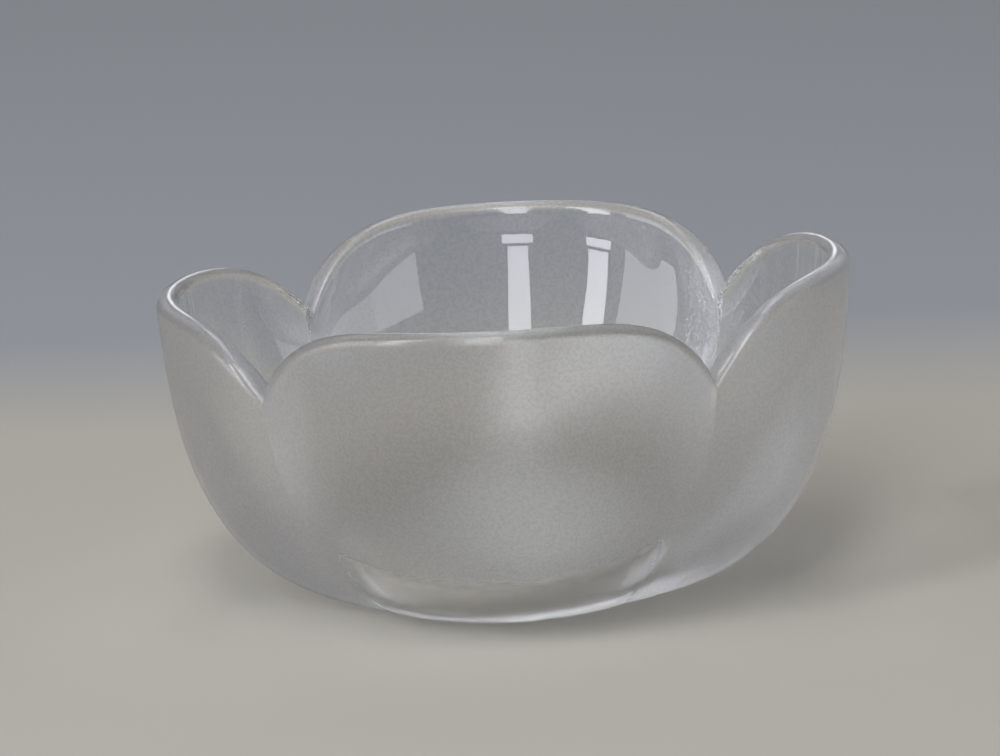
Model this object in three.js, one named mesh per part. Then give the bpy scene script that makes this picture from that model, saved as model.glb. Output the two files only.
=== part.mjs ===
// Pressed glass bowl with four petals. Millimetres, +Z up, origin at the middle of the foot on the table.
import * as THREE from "three";
import { ParametricGeometry } from "three/addons/geometries/ParametricGeometry.js";
import { mergeVertices } from "three/addons/utils/BufferGeometryUtils.js";

// Petals: reach from the axis and height of the rim
const petalReach = 75;
const petalHeight = 70;

// The left petal sank a little when the rim was softened
const sunkenInset = 1.5;
const sunkenDrop = 3;

// Notches between the petals, and the grooves that run down from them
const notchReach = 67;
const notchHeight = 53;

// Flat foot that the bowl stands on
const footReach = 36;
const footGrooveReach = 33;

// Glass: the wall at the rim, from where it thickens towards the floor
const wall = 5;
const rimCrown = 2.5;
const floorThickness = 8.5;
const floorReach = 34;
const floorGrooveReach = 31;

// Side of a petal: how it leaves the foot and how it comes up to the rim
const petalUnderslope = 9;
const petalUnderRun = 35;
const petalFlare = 4.3;
const petalUpperRun = 18.7;

// The same along a groove
const grooveUnderslope = 10;
const grooveUnderRun = 12;
const grooveFlare = 6;
const grooveUpperRun = 24;

// Inside of a petal and a groove: level where it leaves the floor, in line with the outside at the rim
const petalInnerUnderRun = 16;
const petalInnerUpperRun = 31;
const grooveInnerUnderRun = 10;
const grooveInnerUpperRun = 20;

// Shape of the rim seen from the side: the higher, the flatter the top and the steeper the notch
const petalSquareness = 4.3;

// Outside of a petal beside its grooves: it swells by this much, from this share of the way to the groove
const flankSwell = 1;
const flankStart = 0.6;

// Fineness of the mesh
const columnsPerPetal = 20;
const sideRows = 14;
const rimRows = 6;

// Going round from the front (-Y): front, right, back, left
const upright = { reach: petalReach, height: petalHeight };
const sunken = { reach: petalReach - sunkenInset, height: petalHeight - sunkenDrop };
const petals = [upright, upright, upright, sunken];
const halfPetal = Math.PI / petals.length;
const { degToRad } = THREE.MathUtils;

// Outline of a side, as radius and height, from the edge of the foot or the floor up to the rim
function sideCurve(bottom, top, underslope, underRun, flare, upperRun) {
  const slope = degToRad(underslope);
  const lean = degToRad(flare);
  const lower = new THREE.Vector2(Math.cos(slope), Math.sin(slope)).multiplyScalar(underRun).add(bottom);
  const upper = new THREE.Vector2(-Math.sin(lean), -Math.cos(lean)).multiplyScalar(upperRun).add(top);
  return new THREE.CubicBezierCurve(bottom, lower, upper, top);
}

function outsideAndInside(reach, height, outer, inner) {
  const top = new THREE.Vector2(reach, height - rimCrown);
  const innerTop = new THREE.Vector2(reach - wall, height - rimCrown);
  const foot = new THREE.Vector2(outer.reach, 0);
  const floor = new THREE.Vector2(inner.reach, floorThickness);
  return {
    outside: sideCurve(foot, top, outer.underslope, outer.underRun, outer.flare, outer.upperRun),
    inside: sideCurve(floor, innerTop, 0, inner.underRun, outer.flare, inner.upperRun),
  };
}

const groove = outsideAndInside(
  notchReach, notchHeight,
  {
    reach: footGrooveReach, underslope: grooveUnderslope, underRun: grooveUnderRun,
    flare: grooveFlare, upperRun: grooveUpperRun,
  },
  { reach: floorGrooveReach, underRun: grooveInnerUnderRun, upperRun: grooveInnerUpperRun },
);

const petalSides = petals.map(({ reach, height }) => outsideAndInside(
  reach, height,
  {
    reach: footReach, underslope: petalUnderslope, underRun: petalUnderRun,
    flare: petalFlare, upperRun: petalUpperRun,
  },
  { reach: floorReach, underRun: petalInnerUnderRun, upperRun: petalInnerUpperRun },
));

// Seen from above, each petal is an arc through its middle and the two grooves beside it
function petalRadius(angle, middle, edge) {
  const offset = (middle ** 2 - edge ** 2) / (2 * (middle - edge * Math.cos(halfPetal)));
  return offset * Math.cos(angle) + Math.sqrt((middle - offset) ** 2 - (offset * Math.sin(angle)) ** 2);
}

// Point of the outside or the inside at a share of the way up, as radius and height
function wallPoint(angle, petalCurve, grooveCurve, share) {
  const middle = petalCurve.getPoint(share);
  const edge = grooveCurve.getPoint(share);
  const rise = 1 - Math.abs(angle / halfPetal) ** petalSquareness;
  const height = THREE.MathUtils.lerp(edge.y, middle.y, rise);
  return new THREE.Vector2(petalRadius(angle, middle.x, edge.x), height);
}

// Rises from 0 to 1 and falls back to 0 between flankStart and the groove
function flankRise(angle) {
  const along = Math.max(0, (Math.abs(angle) / halfPetal - flankStart) / (1 - flankStart));
  const highest = (2 / 3) ** 2 * (1 - 2 / 3);
  return (along ** 2 * (1 - along)) / highest;
}

function outsidePoint(angle, side, share) {
  const point = wallPoint(angle, side.outside, groove.outside, share);
  point.x += flankSwell * share * flankRise(angle);
  return point;
}

// Round top of the wall, a half ellipse from the outside over to the inside
function rimPoint(angle, side, share) {
  const outer = outsidePoint(angle, side, 1);
  const inner = wallPoint(angle, side.inside, groove.inside, 1);
  const turn = Math.PI * share;
  const point = inner.lerp(outer, (1 + Math.cos(turn)) / 2);
  point.y += rimCrown * Math.sin(turn);
  return point;
}

function shares(steps) {
  return Array.from({ length: steps + 1 }, (_, step) => step / steps);
}

// One row for each ring of points: middle of the foot, outside, rounded rim, inside, middle of the floor
const upOutside = (share) => (angle, side) => outsidePoint(angle, side, share);
const overRim = (share) => (angle, side) => rimPoint(angle, side, share);
const upInside = (share) => (angle, side) => wallPoint(angle, side.inside, groove.inside, share);
const rows = [
  () => new THREE.Vector2(0, 0),
  ...shares(sideRows).map(upOutside),
  ...shares(rimRows).slice(1, -1).map(overRim),
  ...shares(sideRows).reverse().map(upInside),
  () => new THREE.Vector2(0, floorThickness),
];

// The columns stand closer together towards the notches, where the rim is steep
function bowlPoint(around, along, target) {
  const column = Math.round(around * petals.length * columnsPerPetal);
  const petal = Math.floor(column / columnsPerPetal) % petals.length;
  const across = (2 * (column % columnsPerPetal)) / columnsPerPetal - 1;
  const angle = halfPetal * Math.sin((Math.PI / 2) * across);
  const row = rows[Math.round(along * (rows.length - 1))];
  const point = row(angle, petalSides[petal]);
  const turn = petal * 2 * halfPetal + angle;
  target.set(point.x * Math.sin(turn), -point.x * Math.cos(turn), point.y);
}

// Joins the seam and the two middles, and leaves out the faces that have shrunk to nothing there
function closedBody(geometry) {
  geometry.deleteAttribute("normal");
  geometry.deleteAttribute("uv");
  const body = mergeVertices(geometry);
  const corners = Array.from(body.index.array);
  const kept = [];
  for (let face = 0; face < corners.length; face += 3) {
    const [a, b, c] = corners.slice(face, face + 3);
    if (a !== b && b !== c && c !== a) kept.push(a, b, c);
  }
  body.setIndex(kept);
  body.computeVertexNormals();
  return body;
}

const glass = new THREE.MeshStandardMaterial({
  color: 0xdfe3e6, roughness: 0.35, metalness: 0, transparent: true, opacity: 0.35,
});

const shell = new ParametricGeometry(bowlPoint, petals.length * columnsPerPetal, rows.length - 1);
const bowl = new THREE.Mesh(closedBody(shell), glass);
bowl.name = "bowl";

const part = new THREE.Group();
part.add(bowl);

export default part;
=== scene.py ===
import math

import bmesh
import bpy
from mathutils import Matrix, Vector
from mathutils.geometry import interpolate_bezier


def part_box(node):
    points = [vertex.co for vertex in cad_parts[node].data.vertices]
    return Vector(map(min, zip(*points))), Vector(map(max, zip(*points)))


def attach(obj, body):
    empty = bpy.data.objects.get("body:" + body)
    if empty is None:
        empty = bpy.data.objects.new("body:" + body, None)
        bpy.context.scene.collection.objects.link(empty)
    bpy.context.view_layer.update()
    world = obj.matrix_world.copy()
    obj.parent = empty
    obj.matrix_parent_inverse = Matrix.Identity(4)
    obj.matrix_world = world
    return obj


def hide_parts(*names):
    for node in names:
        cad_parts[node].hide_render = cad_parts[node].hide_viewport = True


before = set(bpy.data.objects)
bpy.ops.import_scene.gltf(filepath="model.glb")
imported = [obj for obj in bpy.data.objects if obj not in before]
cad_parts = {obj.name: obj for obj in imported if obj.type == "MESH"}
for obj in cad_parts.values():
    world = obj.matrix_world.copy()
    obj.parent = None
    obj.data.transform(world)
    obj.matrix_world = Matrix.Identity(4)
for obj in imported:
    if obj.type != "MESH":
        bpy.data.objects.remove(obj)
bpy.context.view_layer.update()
scene = bpy.context.scene
print("frame loaded:", sorted(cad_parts))


# Camera

cameraSettings = {
    "imageWidth": 1000,  # pixels, the photograph's frame
    "focalLength": 7684,  # pixels
    "sensorWidth": 36,  # mm
    "distance": 1.646,
    "azimuth": 3.95,  # degrees towards +X from straight in front
    "elevation": 11.77,
    "roll": -3.0,
    "aimSideways": -0.00086,
    "aimHeight": 0.04515,
    "clipStart": 0.05,
    "clipEnd": 100,
}


def makeCamera(settings):
    azimuth = math.radians(settings["azimuth"])
    elevation = math.radians(settings["elevation"])
    sideways = Vector((math.cos(azimuth), math.sin(azimuth), 0))
    towardsCamera = Vector((
        math.sin(azimuth) * math.cos(elevation),
        -math.cos(azimuth) * math.cos(elevation),
        math.sin(elevation),
    ))
    aim = sideways * settings["aimSideways"] + Vector((0, 0, settings["aimHeight"]))
    data = bpy.data.cameras.new("photoCamera")
    data.sensor_width = settings["sensorWidth"]
    data.lens = settings["focalLength"] / settings["imageWidth"] * settings["sensorWidth"]
    data.clip_start = settings["clipStart"]
    data.clip_end = settings["clipEnd"]
    camera = bpy.data.objects.new("photoCamera", data)
    turn = (-towardsCamera).to_track_quat("-Z", "Y").to_matrix().to_4x4()
    roll = Matrix.Rotation(math.radians(settings["roll"]), 4, "Z")
    camera.matrix_world = Matrix.Translation(aim + towardsCamera * settings["distance"]) @ turn @ roll
    scene.collection.objects.link(camera)
    scene.camera = camera


makeCamera(cameraSettings)
scene.view_settings.view_transform = "Standard"
scene.cycles.max_bounces = 28  # light runs a long way inside the thick wall
scene.cycles.glossy_bounces = 13
scene.cycles.transmission_bounces = 13
print("camera ready")


# Shader nodes written as expressions

class Wire:  # one output socket; sums and products of wires add Math nodes
    def __init__(self, tree, socket):
        self.tree = tree
        self.socket = socket

    def node(self, kind, settings=None, inputs=None, output=0):
        made = self.tree.nodes.new(kind)
        for name, value in (settings or {}).items():
            if name == "stops":
                setStops(made.color_ramp, value)
            else:
                setattr(made, name, value)
        for name, value in (inputs or {}).items():
            if isinstance(value, Wire):
                self.tree.links.new(value.socket, made.inputs[name])
            else:
                made.inputs[name].default_value = value
        return Wire(self.tree, made.outputs[output])

    def math(self, operation, first, second):
        return self.node("ShaderNodeMath", {"operation": operation}, {0: first, 1: second})

    def __add__(self, other):
        return self.math("ADD", self, other)

    def __radd__(self, other):
        return self.math("ADD", other, self)

    def __sub__(self, other):
        return self.math("SUBTRACT", self, other)

    def __rsub__(self, other):
        return self.math("SUBTRACT", other, self)

    def __mul__(self, other):
        return self.math("MULTIPLY", self, other)

    def __rmul__(self, other):
        return self.math("MULTIPLY", other, self)

    def __pow__(self, other):
        return self.math("POWER", self, other)


def setStops(ramp, stops):
    while len(ramp.elements) < len(stops):
        ramp.elements.new(1)
    for element, (place, colour) in zip(ramp.elements, stops):
        element.position = place
        element.color = colour


def newMaterial(name):
    material = bpy.data.materials.new(name)
    material.use_nodes = True
    tree = material.node_tree
    tree.nodes.clear()
    places = tree.nodes.new("ShaderNodeTexCoord")
    return material, Wire(tree, places.outputs["Object"])


def finishMaterial(start, shader):
    output = start.tree.nodes.new("ShaderNodeOutputMaterial")
    start.tree.links.new(shader.socket, output.inputs["Surface"])


# Glass

satinGlass = {
    "darkGrain": (0.81, 0.8, 0.8, 1),
    "paleGrain": (0.99, 0.98, 0.99, 1),
    "clearColour": (0.96, 0.965, 0.95, 1),  # where the frosting runs out, at the rim and above the foot
    "clearRoughness": 0.03,
    "transmission": 1.0,
    "ior": 1.5,
    "roughness": 0.27,
    "roughnessSpread": 0.1,
    "frostReach": 1.6,  # how far the frosting carries at its edge
    "frostRagged": 0.6,  # how much the mottling eats into it there
    "mottleScale": 220,
    "grainScale": 1500,
    "grainStops": (0.4, 0.6),  # levels of the grain that are dark and pale
    "grainDepth": 0.00001,
    "pebbleShare": 0.7,  # height of the pebbles beside the grain's
    "glossRoughness": 0.07,  # of the melted skin on the rim
    "milkColour": (0.87, 0.87, 0.91, 1),  # where the frosting lies thick, beside the grooves
    "milkRoughness": 0.4,
    "milkDepth": 0.00012,  # of its pebbles
    "milkLevelling": 0.8,  # share of the fine relief that it fills
    "milkContrast": 2.2,
    "milkByThickness": 0.55,
    "milkByGrain": 1.6,
    "milkFrom": 0.95,  # sum of the last two from which it shows
    "milkWithin": 0.75,  # seen through the glass, in grains
    "milkWithout": 0.12,  # seen from outside, as a soft bloom
}

polishedGlass = {
    "colour": (0.975, 0.985, 0.975, 1),
    "transmission": 1.0,
    "ior": 1.5,
    "roughness": 0.012,
    "roughnessSpread": 0.04,
    "waveScale": 50,
    "waveDepth": 0.00006,
    "hazeScale": 200,
    "hazePower": 3,
}


def makeSatinGlass(settings):
    material, place = newMaterial("satin_glass")
    edge = place.node("ShaderNodeAttribute", {"attribute_name": "frost"}, output="Fac")
    mottle = place.node("ShaderNodeTexNoise", inputs={
        "Vector": place, "Scale": settings["mottleScale"], "Detail": 3.0, "Roughness": 0.6})
    grain = place.node("ShaderNodeTexNoise", inputs={
        "Vector": place, "Scale": settings["grainScale"], "Detail": 2.0, "Roughness": 0.6})
    pebbles = place.node("ShaderNodeTexVoronoi", {"feature": "SMOOTH_F1"}, {
        "Vector": place, "Scale": settings["grainScale"], "Smoothness": 0.5})
    frost = place.node("ShaderNodeClamp", inputs={
        "Value": edge * settings["frostReach"] - settings["frostRagged"] * mottle})
    etch = settings["roughness"] + settings["roughnessSpread"] * (0.5 * mottle + 0.5 * grain)
    darkLevel, paleLevel = settings["grainStops"]
    speckle = place.node("ShaderNodeValToRGB", {
        "stops": [(darkLevel, settings["darkGrain"]), (paleLevel, settings["paleGrain"])],
    }, {"Fac": grain})
    colour = place.node("ShaderNodeMix", {"data_type": "RGBA"}, {
        0: frost, 6: settings["clearColour"], 7: speckle}, 2)
    thick = place.node("ShaderNodeAttribute", {"attribute_name": "milk"}, output="Fac")
    gloss = place.node("ShaderNodeAttribute", {"attribute_name": "gloss"}, output="Fac")
    relief = grain + settings["pebbleShare"] * pebbles
    bump = place.node("ShaderNodeBump", inputs={
        "Strength": 1.0,
        "Distance": settings["grainDepth"],
        "Height": frost * (1 - settings["milkLevelling"] * thick) * relief,
    })
    glass = place.node("ShaderNodeBsdfPrincipled", inputs={
        "Base Color": colour,
        "Roughness": settings["clearRoughness"] + frost * (etch - settings["clearRoughness"]),
        "IOR": settings["ior"],
        "Transmission Weight": settings["transmission"],
        "Coat Weight": gloss,
        "Coat Roughness": settings["glossRoughness"],
        "Normal": bump,
    })
    pebbled = place.node("ShaderNodeBump", inputs={
        "Strength": 1.0, "Distance": settings["milkDepth"], "Height": grain + pebbles})
    milk = place.node("ShaderNodeBsdfPrincipled", inputs={
        "Base Color": settings["milkColour"],
        "Roughness": settings["milkRoughness"],
        "Normal": pebbled,
    })
    within = place.node("ShaderNodeNewGeometry", output="Backfacing")
    cover = settings["milkByThickness"] * thick + settings["milkByGrain"] * grain
    grainy = place.node("ShaderNodeClamp", inputs={
        "Value": settings["milkContrast"] * (cover - settings["milkFrom"])})
    bloom = settings["milkWithout"] * thick
    milkiness = bloom + within * (settings["milkWithin"] * grainy - bloom)
    finishMaterial(place, place.node("ShaderNodeMixShader", inputs={0: milkiness, 1: glass, 2: milk}))
    return material


def makePolishedGlass(settings):
    material, place = newMaterial("polished_glass")
    wave = place.node("ShaderNodeTexNoise", inputs={
        "Vector": place, "Scale": settings["waveScale"], "Detail": 1.0, "Roughness": 0.4})
    haze = place.node("ShaderNodeTexNoise", inputs={
        "Vector": place, "Scale": settings["hazeScale"], "Detail": 3.0, "Roughness": 0.6})
    bump = place.node("ShaderNodeBump", inputs={
        "Strength": 1.0, "Distance": settings["waveDepth"], "Height": wave})
    shader = place.node("ShaderNodeBsdfPrincipled", inputs={
        "Base Color": settings["colour"],
        "Roughness": settings["roughness"] + settings["roughnessSpread"] * haze ** settings["hazePower"],
        "IOR": settings["ior"],
        "Transmission Weight": settings["transmission"],
        "Normal": bump,
    })
    finishMaterial(place, shader)
    return material


# Bowl, in metres

boxLow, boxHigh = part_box("bowl")
bowlShape = {
    "petalReach": boxHigh.x,
    "petalHeight": boxHigh.z,
    "sunkenReach": -boxLow.x,  # the left petal sank a little when the rim was softened
    "sunkenDrop": 0.003,
    "notchReach": 0.067,
    "notchHeight": 0.053,
    "wall": 0.005,  # at the rim; it thickens towards the floor
    "rimCrown": 0.0025,
    "floorThickness": 0.0085,
    "petalSquareness": 4.3,
    "flankSwell": 0.001,  # outside of a petal beside its grooves
    "flankStart": 0.6,  # share of the way from a petal's middle to its groove
    "rimFrost": 0.9,  # frosting on the rim
    "rimFade": 0.25,  # share of the rim, on its inner side, over which it runs out
    "rimMilk": 0.5,  # how thick it lies along the crown
    "rimGloss": 0.6,  # melted skin over it
    "clearHeights": (0.013, 0.0, 0.013, 0.0),  # thin frosting below: front, right, back, left
    "clearRise": 0.45,  # share by which it is higher at the grooves
    "frostFade": 0.003,  # height over which it thickens, going up
    "thinFrost": 0.4,
    "thinUpTo": 0.75,  # share of the way to a groove from which it thickens again
    "milkStart": 0.7,  # share of the way to a groove from which the frosting gets thick
    "milkCurve": 0.7,  # below 1 it thickens soon
    "milkFade": 0.02,  # height over which it gets thick, going up
    "milkOfPetals": (1, 0.4, 1, 0.4),  # front, right, back, left
    "petals": 4,
    "columnsPerPetal": 64,
    "flatRings": 8,
    "wallRings": 64,
    "rimRings": 18,
    "mergeDistance": 1e-6,
}
petalSide = {
    "footReach": 0.036,
    "underslope": 9,  # degrees, where the outside leaves the foot
    "underRun": 0.035,
    "flare": 4.3,  # degrees, where both faces come up to the rim
    "upperRun": 0.0187,
    "floorReach": 0.034,
    "innerUnderRun": 0.016,
    "innerUpperRun": 0.031,
}
grooveSide = {
    "footReach": 0.033,
    "underslope": 10,
    "underRun": 0.012,
    "flare": 6,
    "upperRun": 0.024,
    "floorReach": 0.031,
    "innerUnderRun": 0.010,
    "innerUpperRun": 0.020,
}


def slopedPoint(start, run, slope):
    angle = math.radians(slope)
    return start + run * Vector((math.cos(angle), math.sin(angle), 0))


def sideCurve(bottom, top, underslope, underRun, flare, upperRun, rings):  # radius and height
    lower = slopedPoint(bottom, underRun, underslope)
    upper = slopedPoint(top, -upperRun, 90 - flare)
    return interpolate_bezier(bottom, lower, upper, top, rings + 1)


def sidePoints(shape, reach, height, side):
    rings = shape["wallRings"]
    shoulder = height - shape["rimCrown"]
    foot = Vector((side["footReach"], 0, 0))
    outerTop = Vector((reach, shoulder, 0))
    floor = Vector((side["floorReach"], shape["floorThickness"], 0))
    innerTop = Vector((reach - shape["wall"], shoulder, 0))
    flare = side["flare"]
    return {
        "outside": sideCurve(
            foot, outerTop, side["underslope"], side["underRun"], flare, side["upperRun"], rings),
        "inside": sideCurve(
            floor, innerTop, 0, side["innerUnderRun"], flare, side["innerUpperRun"], rings),
    }


def petalRadius(angle, middle, groove, halfPetal):  # arc through a petal's middle and both grooves
    offset = (middle ** 2 - groove ** 2) / (2 * (middle - groove * math.cos(halfPetal)))
    reach = math.sqrt((middle - offset) ** 2 - (offset * math.sin(angle)) ** 2)
    return offset * math.cos(angle) + reach


class PetalForm:  # radius and height of any point of the bowl
    def __init__(self, shape):
        self.shape = shape
        self.top = shape["wallRings"]
        self.halfPetal = math.pi / shape["petals"]
        self.groove = sidePoints(shape, shape["notchReach"], shape["notchHeight"], grooveSide)
        upright = sidePoints(shape, shape["petalReach"], shape["petalHeight"], petalSide)
        sunkenHeight = shape["petalHeight"] - shape["sunkenDrop"]
        sunken = sidePoints(shape, shape["sunkenReach"], sunkenHeight, petalSide)
        self.sides = [upright, upright, upright, sunken]  # front, right, back, left

    def wallPoint(self, petal, angle, face, step):
        middle = self.sides[petal][face][step]
        groove = self.groove[face][step]
        rise = 1 - abs(angle / self.halfPetal) ** self.shape["petalSquareness"]
        radius = petalRadius(angle, middle.x, groove.x, self.halfPetal)
        if face == "outside":
            radius += self.shape["flankSwell"] * step / self.top * self.flankRise(angle)
        return Vector((radius, groove.y + (middle.y - groove.y) * rise))

    def alongFrom(self, start, angle):  # 0 up to a share of the way to the groove, then rising to 1
        share = self.shape[start]
        return max(0, (abs(angle) / self.halfPetal - share) / (1 - share))

    def flankRise(self, angle):  # up to 1 and back to 0, between flankStart and the groove
        along = self.alongFrom("flankStart", angle)
        highest = (2 / 3) ** 2 * (1 - 2 / 3)  # of the curve below, two thirds of the way along
        return along ** 2 * (1 - along) / highest

    def rimPoint(self, petal, angle, share):
        outer = self.wallPoint(petal, angle, "outside", self.top)
        inner = self.wallPoint(petal, angle, "inside", self.top)
        turn = math.pi * share
        between = inner.lerp(outer, (1 + math.cos(turn)) / 2)
        return between + Vector((0, self.shape["rimCrown"] * math.sin(turn)))

    def flatPoint(self, petal, angle, face, share):  # foot or floor, from the axis out to the wall
        edge = self.wallPoint(petal, angle, face, 0)
        return Vector((edge.x * share, edge.y))

    def frost(self, petal, angle, ring):  # 0 on the polished glass, 1 where fully frosted
        face, step = ring
        if face == "rim":
            remaining = 1 - step / self.shape["rimRings"]
            return self.shape["rimFrost"] * min(1, remaining / self.shape["rimFade"])
        if face == "outside":
            rise = 1 + self.shape["clearRise"] * (angle / self.halfPetal) ** 2
            clear = self.shape["clearHeights"][petal] * rise
            height = self.wallPoint(petal, angle, face, step).y - clear
            thin = self.shape["thinFrost"]
            thin += (1 - thin) * self.alongFrom("thinUpTo", angle)
            return thin + (1 - thin) * min(max(height / self.shape["frostFade"], 0), 1)
        return 0

    def milk(self, petal, angle, ring):  # 1 where the frosting is thick
        face, step = ring
        thick = self.alongFrom("milkStart", angle) ** self.shape["milkCurve"]
        thick *= self.shape["milkOfPetals"][petal]
        if face == "rim":
            share = step / self.shape["rimRings"]
            return max(thick * (1 - share), self.shape["rimMilk"] * math.sin(math.pi * share))
        if face == "outside":
            height = self.wallPoint(petal, angle, face, step).y - self.shape["clearHeights"][petal]
            return thick * min(max(height / self.shape["milkFade"], 0), 1)
        return 0

    def gloss(self, ring):  # strongest along the crown of the rim
        face, step = ring
        if face == "rim":
            return self.shape["rimGloss"] * math.sin(math.pi * step / self.shape["rimRings"])
        return 0

    def point(self, petal, angle, ring):
        face, step = ring
        if face == "foot":
            return self.flatPoint(petal, angle, "outside", step / self.shape["flatRings"])
        if face == "floor":
            return self.flatPoint(petal, angle, "inside", step / self.shape["flatRings"])
        if face == "rim":
            return self.rimPoint(petal, angle, step / self.shape["rimRings"])
        return self.wallPoint(petal, angle, face, step)


def bowlRings(shape):  # from the middle of the foot, up the outside, over the rim and down to the floor
    rings = [("foot", step) for step in range(shape["flatRings"])]
    rings += [("outside", step) for step in range(shape["wallRings"] + 1)]
    rings += [("rim", step) for step in range(1, shape["rimRings"])]
    rings += [("inside", step) for step in range(shape["wallRings"], -1, -1)]
    rings += [("floor", step) for step in range(shape["flatRings"] - 1, -1, -1)]
    return rings


def spinProfile(form, rings, columns):  # a plain round bowl from the section through the front petal
    mesh = bmesh.new()
    ringLayer = mesh.verts.layers.int.new("ring")
    mesh.verts.layers.float.new("frost")
    mesh.verts.layers.float.new("milk")
    mesh.verts.layers.float.new("gloss")
    verts = []
    for number, ring in enumerate(rings):
        point = form.point(0, 0, ring)
        vert = mesh.verts.new((0, -point.x, point.y))
        vert[ringLayer] = number
        verts.append(vert)
    edges = [mesh.edges.new(pair) for pair in zip(verts, verts[1:])]
    bmesh.ops.spin(
        mesh, geom=verts + edges, axis=(0, 0, 1), cent=(0, 0, 0),
        angle=2 * math.pi, steps=columns, use_merge=True)
    bmesh.ops.remove_doubles(mesh, verts=mesh.verts, dist=form.shape["mergeDistance"])
    bmesh.ops.recalc_face_normals(mesh, faces=mesh.faces)
    return mesh


def drawPetals(mesh, form, rings, columns):  # moves the round bowl's points to the petals
    perPetal = form.shape["columnsPerPetal"]
    frostLayer = mesh.verts.layers.float["frost"]
    milkLayer = mesh.verts.layers.float["milk"]
    glossLayer = mesh.verts.layers.float["gloss"]
    ringLayer = mesh.verts.layers.int["ring"]
    for vert in mesh.verts:
        around = math.atan2(vert.co.x, -vert.co.y) / (2 * math.pi) * columns
        column = round(around + perPetal / 2) % columns
        petal = column // perPetal
        across = 2 * (column % perPetal) / perPetal - 1
        angle = form.halfPetal * math.sin(math.pi / 2 * across)  # columns crowd towards the grooves
        ring = rings[vert[ringLayer]]
        vert[frostLayer] = form.frost(petal, angle, ring)
        vert[milkLayer] = form.milk(petal, angle, ring)
        vert[glossLayer] = form.gloss(ring)
        point = form.point(petal, angle, ring)
        turn = 2 * form.halfPetal * petal + angle
        vert.co = (point.x * math.sin(turn), -point.x * math.cos(turn), point.y)


def makeBowl(shape):
    form = PetalForm(shape)
    rings = bowlRings(shape)
    columns = shape["petals"] * shape["columnsPerPetal"]
    mesh = spinProfile(form, rings, columns)
    drawPetals(mesh, form, rings, columns)
    frostLayer = mesh.verts.layers.float["frost"]
    for face in mesh.faces:
        face.smooth = True
        frosted = any(vert[frostLayer] > 0 for vert in face.verts)
        face.material_index = 0 if frosted else 1
    data = bpy.data.meshes.new("petal_bowl")
    mesh.to_mesh(data)
    mesh.free()
    data.materials.append(makeSatinGlass(satinGlass))
    data.materials.append(makePolishedGlass(polishedGlass))
    bowl = bpy.data.objects.new("petal_bowl", data)
    scene.collection.objects.link(bowl)
    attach(bowl, "root")
    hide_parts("bowl")
    print("bowl made:", len(data.polygons), "faces")


makeBowl(bowlShape)


# Floor and light

floorSettings = {
    "halfWidth": 12,
    "drop": 0.0002,  # keeps the floor clear of the foot
    "nearColour": (0.4, 0.375, 0.32, 1),
    "backColour": (0.28, 0.291, 0.303, 1),
    "backFrom": 0.17,  # distance behind the bowl's axis
    "backTo": 0.28,
    # paler disc round the bowl's axis: a painted pool of light on the floor under the bowl, offsetting
    # its shadow
    "paintedLightPoolColour": (0.46, 0.44, 0.39, 1),
    "paintedLightPoolRadius": 0.12,
    "roughness": 0.8,
}


def makeFloor(settings):
    mesh = bmesh.new()
    bmesh.ops.create_grid(mesh, x_segments=1, y_segments=1, size=settings["halfWidth"])
    bmesh.ops.translate(mesh, verts=mesh.verts, vec=(0, 0, -settings["drop"]))
    data = bpy.data.meshes.new("studio_floor")
    mesh.to_mesh(data)
    mesh.free()
    material, place = newMaterial("floor_paint")
    behind = place.node("ShaderNodeSeparateXYZ", inputs={0: place}, output="Y")
    perMetre = 1 / (settings["backTo"] - settings["backFrom"])
    tone = place.node("ShaderNodeValToRGB", {
        "stops": [(0, settings["nearColour"]), (1, settings["backColour"])],
    }, {"Fac": (behind - settings["backFrom"]) * perMetre})
    radius = place.node("ShaderNodeVectorMath", {"operation": "LENGTH"}, {0: place}, "Value")
    # painted pool of light: the floor turns paler towards the bowl's axis, within the disc's radius
    middle = place.node("ShaderNodeClamp", inputs={
        "Value": 1 - radius * (1 / settings["paintedLightPoolRadius"])})
    colour = place.node("ShaderNodeMix", {"data_type": "RGBA"}, {
        0: middle, 6: tone, 7: settings["paintedLightPoolColour"]}, 2)
    finishMaterial(place, place.node("ShaderNodeBsdfPrincipled", inputs={
        "Base Color": colour, "Roughness": settings["roughness"]}))
    data.materials.append(material)
    floor = bpy.data.objects.new("studio_floor", data)
    scene.collection.objects.link(floor)


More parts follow.
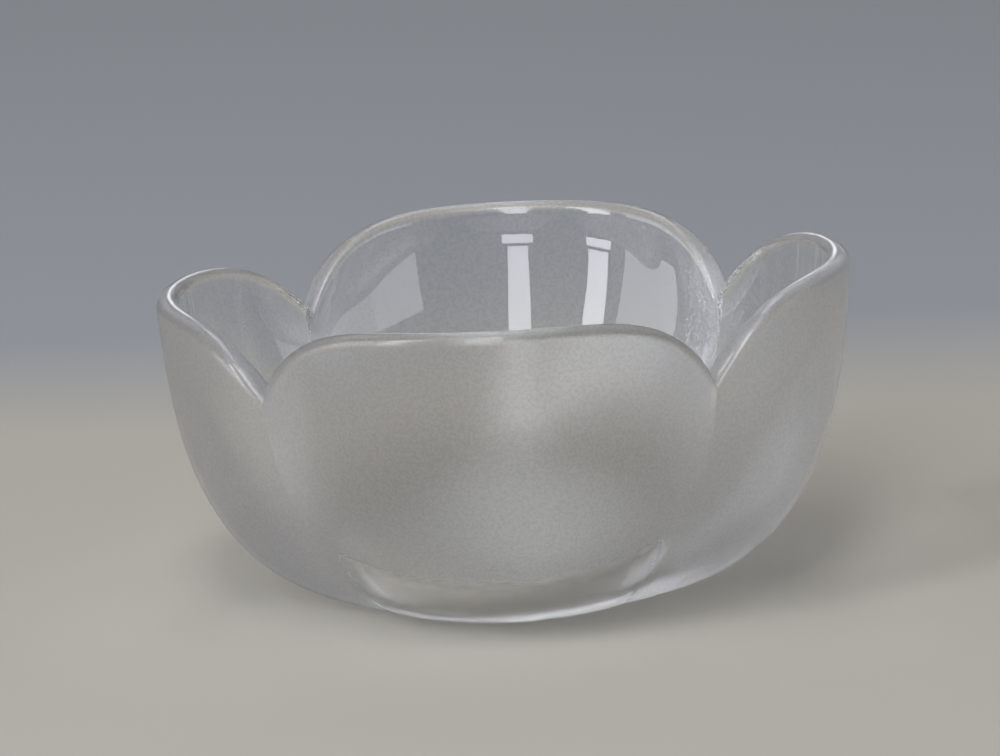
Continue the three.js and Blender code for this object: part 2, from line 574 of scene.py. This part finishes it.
softboxes = [  # degrees round from the front and up, seen from the back petal
    {"name": "front_box", "around": (-11, 4.5),
     "rows": [(3.5, 5.7), (6.5, 72)], "brightness": 8.5},
    {"name": "front_left_box", "around": (-51.5, -38.5),
     "rows": [(2.9, 4.9), (5.7, 55)], "brightness": 9.5},
    {"name": "overhead_box", "around": (-50, 46), "rows": [(60, 86)], "brightness": 1.8},
    {"name": "back_overhead_box", "around": (167, 197), "rows": [(44, 86)], "brightness": 2.1},
    {"name": "back_strip", "around": (182, 188), "rows": [(6, 19)], "brightness": 2.0},
    {"name": "left_box", "around": (-86, -58), "rows": [(2, 34)], "brightness": 3.5},
    {"name": "right_box", "around": (48, 71), "rows": [(2, 18)], "brightness": 2.8},
    {"name": "right_low_box", "around": (71, 92), "rows": [(4, 18)], "brightness": 1.9},
]
softboxSettings = {
    "distance": 2.6,
    "middle": Vector((0, 0.07, 0.06)),  # where the back petal mirrors them
    "colour": (0.93, 0.95, 1.0),
}
worldSettings = {
    "colour": (0.95, 0.94, 1.0, 1),
    "strength": 0.09,
}


def makeLamp(name, place, towards, size, colour, brightness):  # 1 is as bright as white paper
    data = bpy.data.lights.new(name, "AREA")
    data.shape = "RECTANGLE"
    data.size, data.size_y = size
    data.color = colour
    data.energy = brightness * math.pi * size[0] * size[1]
    lamp = bpy.data.objects.new(name, data)
    lamp.location = place
    lamp.rotation_euler = towards.to_track_quat("-Z", "Y").to_euler()
    lamp.visible_camera = False
    scene.collection.objects.link(lamp)


def makeSoftbox(box, settings):
    left, right = (math.radians(angle) for angle in box["around"])
    for number, (low, high) in enumerate(box["rows"]):
        around = (left + right) / 2
        up = math.radians((low + high) / 2)
        away = Vector((math.sin(around) * math.cos(up), -math.cos(around) * math.cos(up), math.sin(up)))
        place = settings["middle"] + away * settings["distance"]
        width = 2 * settings["distance"] * math.tan((right - left) / 2) * math.cos(up)
        height = 2 * settings["distance"] * math.tan(math.radians((high - low) / 2))
        name = box["name"] + "_" + str(number)
        makeLamp(name, place, -away, (width, height), settings["colour"], box["brightness"])


def makeWorld(settings):
    world = bpy.data.worlds.new("studio_air")
    world.use_nodes = True
    background = world.node_tree.nodes["Background"]
    background.inputs["Color"].default_value = settings["colour"]
    background.inputs["Strength"].default_value = settings["strength"]
    scene.world = world


makeFloor(floorSettings)
for box in softboxes:
    makeSoftbox(box, softboxSettings)
makeWorld(worldSettings)
print("floor and light ready")


# Scene update

bpy.context.view_layer.update()
